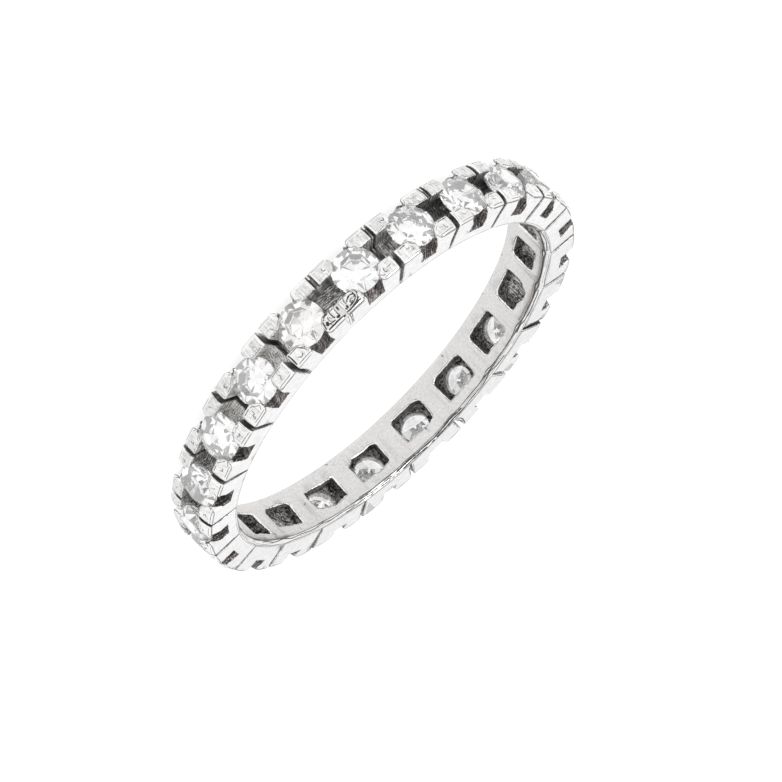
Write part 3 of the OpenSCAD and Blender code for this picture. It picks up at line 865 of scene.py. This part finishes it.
def add_camera():
    c = Vector((0, 0, W / 2))
    C = c + DIST * Vector((math.sin(AZ) * math.cos(EL), -math.cos(AZ) * math.cos(EL), math.sin(EL)))
    fw = -(C - c) / DIST
    right = Vector((math.cos(AZ), math.sin(AZ), 0))
    up = right.cross(fw)
    cr, sr = math.cos(ROLL), math.sin(ROLL)
    right1 = cr * right - sr * up
    up1 = sr * right + cr * up
    ax = math.atan((CX - 391) / F_PX); ay = math.atan((CY - 391) / F_PX)
    right2 = math.cos(ax) * right1 + math.sin(ax) * fw
    fw2 = -math.sin(ax) * right1 + math.cos(ax) * fw
    up3 = math.cos(ay) * up1 - math.sin(ay) * fw2
    fw3 = math.sin(ay) * up1 + math.cos(ay) * fw2
    cam = bpy.data.cameras.new("camera")
    cam.sensor_width = 36
    cam.lens = F_PX * 36 / 782
    cam.clip_start = 0.005
    cam.clip_end = 10
    ob = link(bpy.data.objects.new("camera", cam))
    m = Matrix((right2, up3, -fw3)).transposed().to_4x4()
    m.translation = C / 1000
    ob.matrix_world = m
    bpy.context.scene.camera = ob


# ------------------------------------------------------------------ materials, all worked out from the place on the ring
class Val:
    """A number that flows between shader nodes; the usual signs make the nodes."""

    def __init__(self, look, out):
        self.look, self.out = look, out

    def __add__(self, b):
        return self.look.math("ADD", self, b)

    def __sub__(self, b):
        return self.look.math("SUBTRACT", self, b)

    def __rsub__(self, b):
        return self.look.math("SUBTRACT", b, self)

    def __mul__(self, b):
        return self.look.math("MULTIPLY", self, b)

    def __truediv__(self, b):
        return self.look.math("DIVIDE", self, b)

    def __neg__(self):
        return self.look.math("MULTIPLY", self, -1.0)

    def __abs__(self):
        return self.look.math("ABSOLUTE", self)

    __radd__, __rmul__ = __add__, __mul__


class Look:
    """One Principled material; place() gives the surface's own place on the ring in millimetres."""

    def __init__(self, name, metallic=1.0, **sockets):
        self.mat = bpy.data.materials.new(name)
        self.mat.use_nodes = True
        self.tree = self.mat.node_tree
        self.bsdf = self.tree.nodes["Principled BSDF"]
        self.bsdf.inputs["Metallic"].default_value = metallic
        for k, value in sockets.items():
            self.bsdf.inputs[k.replace("_", " ")].default_value = value

    def add(self, kind, **props):
        n = self.tree.nodes.new(kind)
        for k, value in props.items():
            setattr(n, k, value)
        return n

    def put(self, socket, value):
        if isinstance(value, Val):
            self.tree.links.new(value.out, socket)
        else:
            socket.default_value = value

    def math(self, op, *values):
        n = self.add("ShaderNodeMath", operation=op)
        for s, value in zip(n.inputs, values):
            self.put(s, value)
        return Val(self, n.outputs[0])

    def lim(self, x):
        n = self.add("ShaderNodeClamp")
        self.put(n.inputs[0], x)
        return Val(self, n.outputs[0])

    def low(self, a, b):
        return self.math("MINIMUM", a, b)

    def high(self, a, b):
        return self.math("MAXIMUM", a, b)

    def step(self, x, a, b):
        """0 where x is at a, 1 where it is at b, smooth between."""
        n = self.add("ShaderNodeMapRange", interpolation_type="SMOOTHSTEP")
        self.put(n.inputs[0], x)
        n.inputs[1].default_value, n.inputs[2].default_value = (a, b) if a < b else (b, a)
        n.inputs[3].default_value, n.inputs[4].default_value = (0, 1) if a < b else (1, 0)
        return Val(self, n.outputs[0])

    def line(self, x, half, soft):
        """1 on the line x = 0, fading out at the distance half over soft."""
        return self.step(abs(x), half + soft, max(half - soft, 0.0))

    def mix(self, a, b, f):
        return a + (b - a) * f

    def noise(self, x, y, z, detail=2.0, rough=0.55, distort=0.0):
        """Even noise about 0, from about -1 to 1."""
        c = self.add("ShaderNodeCombineXYZ")
        for s, value in zip(c.inputs, (x, y, z)):
            self.put(s, value)
        n = self.add("ShaderNodeTexNoise")
        n.inputs["Scale"].default_value = 1.0
        n.inputs["Detail"].default_value = detail
        n.inputs["Roughness"].default_value = rough
        n.inputs["Distortion"].default_value = distort
        self.tree.links.new(c.outputs[0], n.inputs["Vector"])
        return (Val(self, n.outputs["Fac"]) - 0.5) * 3.2

    def chance(self, x, seed):
        """A number from 0 to 1 that depends on the whole number x alone."""
        n = self.add("ShaderNodeTexWhiteNoise", noise_dimensions="1D")
        self.put(n.inputs["W"], x + (seed * 3.17 + 0.5))
        return Val(self, n.outputs["Value"])

    def facet(self, seed):
        """A number from 0 to 1 that is the same all over one flat facet."""
        snap = self.add("ShaderNodeVectorMath", operation="SNAP")
        self.tree.links.new(self.add("ShaderNodeTexCoord").outputs["Normal"], snap.inputs[0])
        snap.inputs[1].default_value = (0.043, 0.043, 0.043)
        n = self.add("ShaderNodeTexWhiteNoise", noise_dimensions="4D")
        self.tree.links.new(snap.outputs[0], n.inputs["Vector"])
        n.inputs["W"].default_value = seed + 0.5
        return Val(self, n.outputs["Value"])

    def place(self):
        co = self.add("ShaderNodeTexCoord").outputs["Object"]
        sep = self.add("ShaderNodeSeparateXYZ")
        self.tree.links.new(co, sep.inputs[0])
        x, y, z = (Val(self, o) * 1000.0 for o in sep.outputs)
        self.x, self.y, self.z = x, y, z
        self.r = self.math("SQRT", x * x + y * y)
        k = (self.math("ARCTAN2", y, x) - FIRST) / PITCH
        self.i = self.math("ROUND", k)
        d = (k - self.i) * PITCH
        self.u, self.h = self.r * self.math("SINE", d), self.r * self.math("COSINE", d)
        self.v = z - W / 2
        self.j = self.math("FLOOR", k)
        self.arc = k * (PITCH * RI)
        self.e = self.r * self.math("SINE", (k - self.j - 0.5) * PITCH)
        return self

    def bump(self, height, depth):
        """height is from about -1 to 1, depth in millimetres."""
        n = self.add("ShaderNodeBump")
        n.inputs["Strength"].default_value = 1.0
        n.inputs["Distance"].default_value = depth / 1000
        self.put(n.inputs["Height"], height)
        self.tree.links.new(n.outputs["Normal"], self.bsdf.inputs["Normal"])

    def finish(self, grey, tint, rough):
        """Base colour from a grey between 0 and 1 and a tint, and the roughness."""
        c = self.add("ShaderNodeCombineColor")
        grey = self.lim(grey)
        for s, t in zip(c.inputs, tint):
            self.put(s, grey * t)
        self.tree.links.new(c.outputs[0], self.bsdf.inputs["Base Color"])
        self.put(self.bsdf.inputs["Roughness"], rough)
        return self.mat


def side_look():
    s = Look("polished side").place()
    wave = s.noise(s.x * 1.1, s.y * 1.1, s.z * 1.1, 2)
    fine = s.noise(s.arc * 1.5, s.r * 22, s.v, 3)
    wob = s.noise(s.arc * 2.3, s.v, 4.0, 2) * 0.012
    part = s.step(s.noise(s.arc * 1.7, 9.0, 2.0, 1), -0.9, 0.3)
    # painted reflection lines: dark lines along the outer and inner edges of the side face
    outer = s.line(s.r - (SIDE_R - 0.012) - wob, 0.017, 0.014) * (0.45 + 0.5 * part)
    inner = s.line(s.r - (RI + INNER_BEVEL + 0.014) + wob, 0.014, 0.014) * (0.35 + 0.4 * part)
    grain = s.noise(s.x * 5.2, s.y * 5.2, s.z * 5.2, 2)
    # painted shade: the side face is darker towards +y
    grey = s.mix(0.915, 0.835, s.step(s.y, -3.0, 4.0)) + wave * 0.022 + fine * 0.035 + grain * 0.085
    grey = grey * (1.0 - s.high(outer, inner) * 0.88)
    s.bump(wave + fine * 0.15, 0.004)
    return s.finish(grey, (1.0, 1.0, 0.998), s.lim(0.17 + wave * 0.05 + fine * 0.03))


def edge_look():
    s = Look("polished outer chamfer").place()
    wob = s.noise(s.arc * 2.3, s.v, 4.0, 2) * 0.010
    part = s.step(s.noise(s.arc * 2.1, 3.0, 5.0, 1), -0.8, 0.4)
    # painted reflection lines: dark lines along both edges of the chamfer
    low = s.line(s.r - SIDE_R - wob, 0.018, 0.015) * 0.8
    high = s.line(s.r - (RI + CLAW_H - 0.045) - wob, 0.020, 0.018) * (0.3 + 0.6 * part)
    n = s.noise(s.arc * 4, s.v * 4, s.r * 9, 2)
    grey = (0.95 + n * 0.03) * (1.0 - s.high(low, high) * 0.86)
    s.bump(n, 0.003)
    return s.finish(grey, (1.0, 1.0, 0.998), s.lim(0.16 + n * 0.05))


def top_look():
    s = Look("claw top").place()
    av = abs(s.v)
    own = s.i * 1.37
    tone = s.noise(s.u * 1.3 + own, s.v * 1.3, own, 2)
    fine = s.noise(s.u * 15 + own, s.v * 1.6, own, 3)
    grain = s.noise(s.u * 16, s.v * 16, own, 2)
    # painted highlight: bright where the claw rounds over into the slot, the groove, the saw cut and the chamfer
    rim = s.high(s.step(abs(s.u) - SLOT, 0.20, 0.03), s.step(av - GROOVE, 0.12, 0.02))
    rim = s.high(rim, s.step(abs(s.e) - 0.10, 0.08, 0.015))
    rim = s.high(rim, s.step(av - (W / 2 - 0.12), -0.08, 0.0))
    # fringe of short file strokes at the groove
    strokes_ = s.step(s.noise(s.u * 26 + own, own, 1.0, 1), 0.1, 0.9) * s.step(av - GROOVE, 0.26, 0.08) * s.step(s.noise(s.u * 3, own, 7.0, 1), -0.2, 0.7)
    sketch = s.noise(s.u * 11 + own, s.v * 2.6, own + 3.0, 2)
    grey = s.mix(s.mix(0.74, 0.80, s.step(s.v, -0.1, 0.1)) + tone * 0.07 + fine * 0.14 + grain * 0.12 + sketch * 0.21, 0.95, rim * 0.8)
    grey = grey * (1.0 - strokes_ * 0.55)
    s.bump(fine * 0.6 + grain * 0.4, 0.004)
    return s.finish(grey, (1.0, 0.995, 0.985), s.lim(0.36 + tone * 0.06 + grain * 0.04))


def inner_look():
    s = Look("satin finger side").place()
    broad = s.noise(s.arc * 0.5, s.v * 1.2, 3.0, 2)
    tone = s.noise(s.arc * 2.2, s.v * 2.2, 1.0, 3)
    grain = s.noise(s.arc * 17, s.v * 17, 2.0, 2)
    brush = s.noise(s.arc * 1.1, s.v * 17, 6.0, 3)
    spots = s.step(s.noise(s.arc * 12, s.v * 12, 9.0, 1), 0.85, 1.2)
    speck = s.noise(s.arc * 10, s.v * 10, 4.0, 1)
    grey = 0.725 + broad * 0.03 + tone * 0.03 + grain * 0.05 + speck * 0.10 + brush * 0.03 - spots * 0.14
    # painted shade: darker near the chamfer at the one side
    chamfer_shade = s.step(s.v + tone * 0.05, 0.66, 1.06) * s.step(s.x, -5.6, -7.4)
    chamfer_shade = s.high(chamfer_shade, s.step(s.v + tone * 0.05, 0.80, 1.08) * s.step(s.x, 6.2, 7.6) * s.step(s.y, -1.0, 1.0) * 0.7)
    grey = grey * (1.0 - chamfer_shade * (0.68 + s.lim(tone * 0.5) * 0.2))
    s.bump(grain * 0.6 + brush * 0.5, 0.003)
    return s.finish(grey, (1.0, 0.988, 0.974), s.lim(0.40 + tone * 0.05 + brush * 0.05))


def inner_edge_look():
    s = Look("polished inner chamfer").place()
    av = abs(s.v)
    wob = s.noise(s.arc * 1.3, 0.0, 3.0, 2)
    # near_in and near_side are painted reflection lines along the chamfer's two edges
    near_in = s.line(av - (W / 2 - INNER_BEVEL) - 0.01, 0.032, 0.02)
    near_side = s.line(av - W / 2 + 0.012, 0.016, 0.016) * 0.6
    mid = s.line(av - (W / 2 - INNER_BEVEL * 0.62) - wob * 0.02, 0.020, 0.02) * s.step(s.noise(s.arc * 0.35, 2.0, 0.0, 1), 0.1, 0.8)
    n = s.noise(s.arc * 1.6, av * 22, 2.0, 2)
    # dim is a painted dark reflection along the chamfer at the end where x is below -4 mm
    dim = s.step(s.noise(s.arc * 0.9, 6.0, 1.0, 1), 0.0, 0.7) * s.step(s.x, -4.0, -6.0)
    grey = (0.87 - dim * 0.22 + n * 0.12) * (1.0 - s.high(s.high(near_in, near_side), mid) * 0.88)
    s.bump(n, 0.004)
    return s.finish(grey, (1.0, 0.997, 0.99), s.lim(0.18 + n * 0.06))


def recess_look(name, kind):
    s = Look(name, metallic=0.4).place()
    own = s.i * 2.3 if kind == "slot" else s.j * 2.3
    if kind == "slot":
        across = s.u - s.v * (0.35 + s.chance(s.i, 2.0) * 0.6)
        fine = s.noise(across * 15, s.v * 3.2, s.h * 13 + own, 1)
        hatch = s.math("SINE", across * 72.0 + s.noise(across * 3.5, s.v * 2.4, own, 1) * 3.4)
    else:
        pick = s.step(s.chance(s.j, 5.0), 0.49, 0.51)
        lean = s.chance(s.j, 9.0) * 0.8 - 0.4
        a = s.e + s.v * lean
        b = s.v - s.e * lean
        one = s.noise(a * 13, b * 4.0, s.h * 12 + own, 1)
        two = s.noise(a * 4.0, b * 13, s.h * 12 + own, 1)
        fine = s.mix(one, two, pick)
        hatch = s.math("SINE", s.mix(a, b, pick) * 70.0 + s.noise(a * 3.2, b * 3.2, own, 1) * 3.4)
    broad = s.noise(s.u * 1.6 + own, s.v * 1.6, s.h * 1.6, 2)
    grain = s.noise(s.x * 14, s.y * 14, s.z * 14, 1)
    e = s.math("POWER", 2.0, hatch * (0.9 if kind == "slot" else 0.75) + fine * 2.0 + broad * 0.8 + grain * 1.5)
    if kind == "slot":
        grey = e * s.mix(0.185, 0.11, s.step(s.i, -3.4, -3.0) * s.step(s.i, -0.6, -1.0))
    else:
        grey = e * s.mix(0.36, 0.13, s.step(s.j, -7.3, -7.8)) * (1.0 + s.line(s.j + 4.6, 0.8, 0.1) * 1.4)
    tint = (1.0, 0.93, 0.90) if kind == "slot" else (1.0, 0.985, 0.965)
    s.bump(hatch * 0.5 + fine * 0.5, 0.010)
    return s.finish(grey, tint, s.lim(0.46 + broad * 0.1))


def saw_look():
    s = Look("saw cut", metallic=0.5).place()
    own = s.j * 1.9
    fine = s.noise(s.v * 3 + own, s.h * 15, own, 2)
    broad = s.noise(s.v * 2.0 + own, s.h * 2.0, own, 2)
    # painted shade: lighter near the side faces and in the middle below the groove, where the cut opens, and darker
    # between
    face = s.step(abs(s.v), 0.95, 1.15) * s.step(s.r, 10.25, 10.0)
    inside = s.step(abs(s.v), 0.62, 0.45)
    own_tone = s.math("POWER", 2.0, s.chance(s.j, 4.0) * 0.8 - 0.4)
    filled = s.step(abs(s.j - (REPAIR - 1 - N)), 0.6, 0.4) * s.step(s.v, 0.3, 0.45) * s.step(s.r, 9.9, 10.1)
    # painted shade: the cut after stone 8 is nearly black on its upper half
    strong = s.step(abs(s.j - 7.0), 0.6, 0.4) * s.step(s.v, 0.2, 0.5)
    tone = s.mix(0.16, 0.42, s.high(face, inside)) * own_tone
    grain = s.noise(s.x * 13, s.y * 13, s.z * 13, 1)
    streak = s.noise(s.e * 16, s.v * 2.6, own, 1)
    grey = s.math("POWER", 2.0, fine * 1.0 + broad * 0.6 + grain * 1.2 + streak * 1.2) * s.mix(tone, 0.012, strong)
    grey = s.mix(grey, 0.82, filled)
    s.bump(fine, 0.008)
    return s.finish(grey, (1.0, 0.98, 0.96), s.lim(0.42 + broad * 0.1))


def opening_look():
    s = Look("opening", metallic=0.4, Specular_IOR_Level=0.1).place()
    own = s.i * 3.1
    mottle = s.noise(s.u * 5 + own, s.v * 5, s.h * 7, 3, 0.65, 0.8)
    scratch = s.noise(s.u * 14 + s.v * 7 + own, s.v * 4 - s.u * 3, s.h * 9, 2, 0.6, 0.5)
    # painted light: the openings below the stones 9 to 11 are lighter, that of stone 11 much lighter, making up for the
    # dim light inside these hollows
    deep = s.mix(0.066, 0.11, s.step(s.i, 7.6, 7.9) * s.step(s.i, 10.6, 10.4))
    deep = deep + s.step(s.i, 9.6, 9.9) * s.step(s.i, 10.6, 10.4) * 0.4
    turn = s.chance(s.i, 6.0) * 3.1
    a = s.u * s.math("COSINE", turn) + s.v * s.math("SINE", turn)
    b = s.v * s.math("COSINE", turn) - s.u * s.math("SINE", turn)
    wide = s.noise(a * 4.2 + own, b * 2.2, s.h * 4, 2, 0.5, 1.0)
    small = s.noise(a * 7.0 + own, b * 3.6, s.h * 5 + 5.0, 1, 0.5, 1.2)
    curl = s.high(s.line(wide, 0.11, 0.05) * 0.9, s.line(small, 0.14, 0.06) * s.step(mottle, -0.12, 0.15))
    # painted shade: darker towards the walls of each opening
    rim = s.high(s.step(abs(s.v), 0.36, 0.54), s.step(abs(s.u), 0.50, 0.72))
    grey = s.math("POWER", 2.0, mottle * 2.2 + scratch * 2.4 - 0.5) * deep
    speck = s.step(s.noise((s.u + s.v) * 13 + own, (s.u - s.v) * 7, s.h * 12, 1), 0.25, 0.75)
    grey = s.mix(grey, 0.62, speck * 0.44)
    grey = s.mix(grey, 0.86, curl * s.lim(0.66 + scratch * 0.6) * (1.0 - rim * 0.25)) * (1.0 - rim * 0.35)
    s.bump(mottle * 0.7 + scratch * 0.5, 0.02)
    return s.finish(grey, (1.0, 0.975, 0.95), s.lim(0.45 + mottle * 0.1))


def seat_look():
    s = Look("cut seat").place()
    n = s.noise(s.u * 6, s.v * 6, s.h * 14, 2)
    scratch = s.noise(s.u * 9 + s.i, s.v * 9, s.h * 6, 2, 0.6, 0.8)
    deep = s.math("POWER", 2.0, n * 1.4 + scratch * 1.6) * 0.07
    deep = s.mix(deep, 0.75, s.line(scratch, 0.12, 0.06) * 0.55)
    # painted shade: dark low down in the hole under the stone, bright-cut higher up towards the stone
    grey = s.lim(s.mix(deep, 0.90, s.step(s.h, RI + 0.62, RI + 0.86)) + n * s.step(s.h, RI + 0.55, RI + 0.9) * 0.10)
    s.bump(n, 0.006)
    return s.finish(grey, (1.0, 0.99, 0.98), s.lim(0.22 + n * 0.06))


def bevel_look():
    s = Look("opening bevel").place()
    n = s.noise(s.u * 7, s.v * 7, s.i * 2.0, 2)
    grey = s.lim(0.90 + n * 0.09)
    s.bump(n, 0.006)
    return s.finish(grey, (1.0, 0.995, 0.985), s.lim(0.18 + n * 0.06))


def stone_look(name, tint, seed, low=0.60):
    s = Look(name, metallic=0.0, Transmission_Weight=1.0, IOR=2.42, Emission_Strength=0.046).place()
    cloud = s.noise(s.x * 1.7 + seed, s.y * 1.7, s.z * 1.7, 2)
    grain = s.noise(s.x * 14, s.y * 14 + seed, s.z * 14, 2)
    # painted light: the stones glow faintly, more from some facets than others; the grey that changes from facet to
    # facet is painted reflections of darker surroundings
    facet, glow = s.facet(seed), s.facet(seed + 4.0)
    c = s.add("ShaderNodeCombineColor")
    for socket in c.inputs:
        s.put(socket, 0.15 + glow * 1.7)
    s.tree.links.new(c.outputs[0], s.bsdf.inputs["Emission Color"])
    grey = low + s.math("POWER", facet, 0.45) * (0.99 - low) + cloud * 0.012
    return s.finish(grey, tint, s.lim(0.004 + grain * 0.004))


def line_look(name, value, tint, metallic):
    s = Look(name, metallic=metallic).place()
    n = s.noise(s.x * 9, s.y * 9, s.z * 9, 2)
    return s.finish(s.lim(value + n * value * 0.45), tint, s.lim(0.5 + n * 0.1))


def dress_band(ob, zones):
    looks = {TOP: top_look(), SIDE: side_look(), EDGE: edge_look(), INNER: inner_look(), INNER_EDGE: inner_edge_look(),
             SLOT_Z: recess_look("slot", "slot"), PIT: recess_look("groove", "pit"), SAW_Z: saw_look(),
             HOLE_Z: opening_look(), SEAT_Z: seat_look(), HOLE_EDGE: bevel_look(),
             # the dark, grey and brown strips are mostly painted shade and painted reflection lines along edges and
             # outlines; some are scratches and tool marks
             11: line_look("dark line", 0.035, (1.0, 0.97, 0.95), 0.2), 12: line_look("grey line", 0.22, (1.0, 0.98, 0.97), 0.3),
             13: line_look("light line", 0.93, (1.0, 1.0, 1.0), 1.0), 14: line_look("brown line", 0.36, (1.0, 0.93, 0.88), 0.4)}
    me = ob.data
    me.materials.clear()
    for zone in range(15):
        me.materials.append(looks[zone])
    me.polygons.foreach_set("material_index", zones.astype(np.int32))
    me.update()


def dress_stones():
    looks = [stone_look("clear stone", (1.0, 1.0, 1.0), 0.0), stone_look("faintly warm stone", (0.965, 0.94, 0.915), 3.0, 0.34),
             stone_look("faintly cool stone", (0.985, 0.99, 1.0), 7.0)]
    for name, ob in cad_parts.items():
        if name.startswith("stone_"):
            number = int(name[6:])
            look = looks[1] if number == 17 else looks[2] if number % 5 == 1 else looks[0]
            ob.data.materials.clear()
            ob.data.materials.append(look)
            for p in ob.data.polygons:
                p.use_smooth = False
                p.material_index = 0


# ------------------------------------------------------------------ studio
# darker places that the studio's white walls have: direction, inner and outer angle in degrees, brightness
DARKS = (
    ((0.12, -0.94, 0.33), 3, 7, 0.72),      # behind the camera
    ((0.75, -0.55, 0.36), 3, 6, 0.75),
    ((-0.55, -0.75, 0.36), 3, 6, 0.75),
    ((0.10, -0.62, 0.78), 3, 6, 0.75),
    ((0.95, 0.10, 0.30), 5, 9, 0.82),
    ((-0.95, 0.20, 0.25), 5, 9, 0.82),
    ((0.30, 0.80, 0.52), 4, 8, 0.82),
    ((-0.35, 0.55, 0.76), 4, 8, 0.82),
)


def add_world():
    world = bpy.data.worlds.new("studio")
    world.use_nodes = True
    bpy.context.scene.world = world
    tree = world.node_tree
    back = tree.nodes["Background"]
    co = tree.nodes.new("ShaderNodeTexCoord").outputs["Generated"]
    grey = None
    for where, inner, outer, value in DARKS:
        dot = tree.nodes.new("ShaderNodeVectorMath")
        dot.operation = "DOT_PRODUCT"
        tree.links.new(co, dot.inputs[0])
        dot.inputs[1].default_value = Vector(where).normalized()
        step = tree.nodes.new("ShaderNodeMapRange")
        step.interpolation_type = "SMOOTHSTEP"
        tree.links.new(dot.outputs["Value"], step.inputs[0])
        step.inputs[1].default_value = math.cos(math.radians(outer))
        step.inputs[2].default_value = math.cos(math.radians(inner))
        step.inputs[3].default_value = 1.0
        step.inputs[4].default_value = value
        if grey is None:
            grey = step.outputs[0]
        else:
            both = tree.nodes.new("ShaderNodeMath")
            both.operation = "MULTIPLY"
            tree.links.new(grey, both.inputs[0])
            tree.links.new(step.outputs[0], both.inputs[1])
            grey = both.outputs[0]
    tree.links.new(grey, back.inputs["Color"])
    back.inputs["Strength"].default_value = 1.0
    # the walls themselves look plain white
    path = tree.nodes.new("ShaderNodeLightPath")
    plain = tree.nodes.new("ShaderNodeBackground")
    plain.inputs["Color"].default_value = (1, 1, 1, 1)
    mix = tree.nodes.new("ShaderNodeMixShader")
    tree.links.new(path.outputs["Is Camera Ray"], mix.inputs[0])
    tree.links.new(back.outputs[0], mix.inputs[1])
    tree.links.new(plain.outputs[0], mix.inputs[2])
    tree.links.new(mix.outputs[0], tree.nodes["World Output"].inputs["Surface"])


def add_light():
    lamp = bpy.data.lights.new("softbox", "AREA")
    lamp.shape = "DISK"
    lamp.size = 0.5
    lamp.energy = 1.2
    ob = link(bpy.data.objects.new("softbox", lamp))
    at = Vector((-0.35, -0.25, 0.8))
    ob.location = at
    ob.rotation_euler = (Vector((0, 0, 0)) - at).to_track_quat("-Z", "Y").to_euler()


def add_floor():
    n, radius = 96, 0.8
    verts = [(radius * math.cos(a * 2 * math.pi / n), radius * math.sin(a * 2 * math.pi / n), 0.0) for a in range(n)]
    me = bpy.data.meshes.new("floor_mesh")
    me.from_pydata(verts, [], [list(range(n))])
    me.update()
    ob = link(bpy.data.objects.new("floor", me))
    s = Look("pale floor", metallic=0.0)
    co = s.add("ShaderNodeTexCoord").outputs["Object"]
    sep = s.add("ShaderNodeSeparateXYZ")
    s.tree.links.new(co, sep.inputs[0])
    x, y = (Val(s, o) * 60.0 for o in sep.outputs[:2])
    n_ = s.noise(x, y, 0.0, 2)
    s.finish(s.lim(0.15 + n_ * 0.003), (1, 1, 1), 0.6)
    s.bsdf.inputs["Emission Color"].default_value = (1, 1, 1, 1)
    s.bsdf.inputs["Emission Strength"].default_value = 0.89
    ob.data.materials.append(s.mat)
    ob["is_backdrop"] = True


# ------------------------------------------------------------------ all together
band, zones = make_band()
dress_band(band, zones)
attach(band, "root")
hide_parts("band")
dress_stones()
add_floor()
add_camera()
add_world()
add_light()
bpy.context.scene.view_settings.view_transform = "Standard"
bpy.context.scene.view_settings.look = "None"

box = lambda b: [[float(x) for x in corner] for corner in b]
{"cad": box(CAD_BOX), "visual": box(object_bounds())}
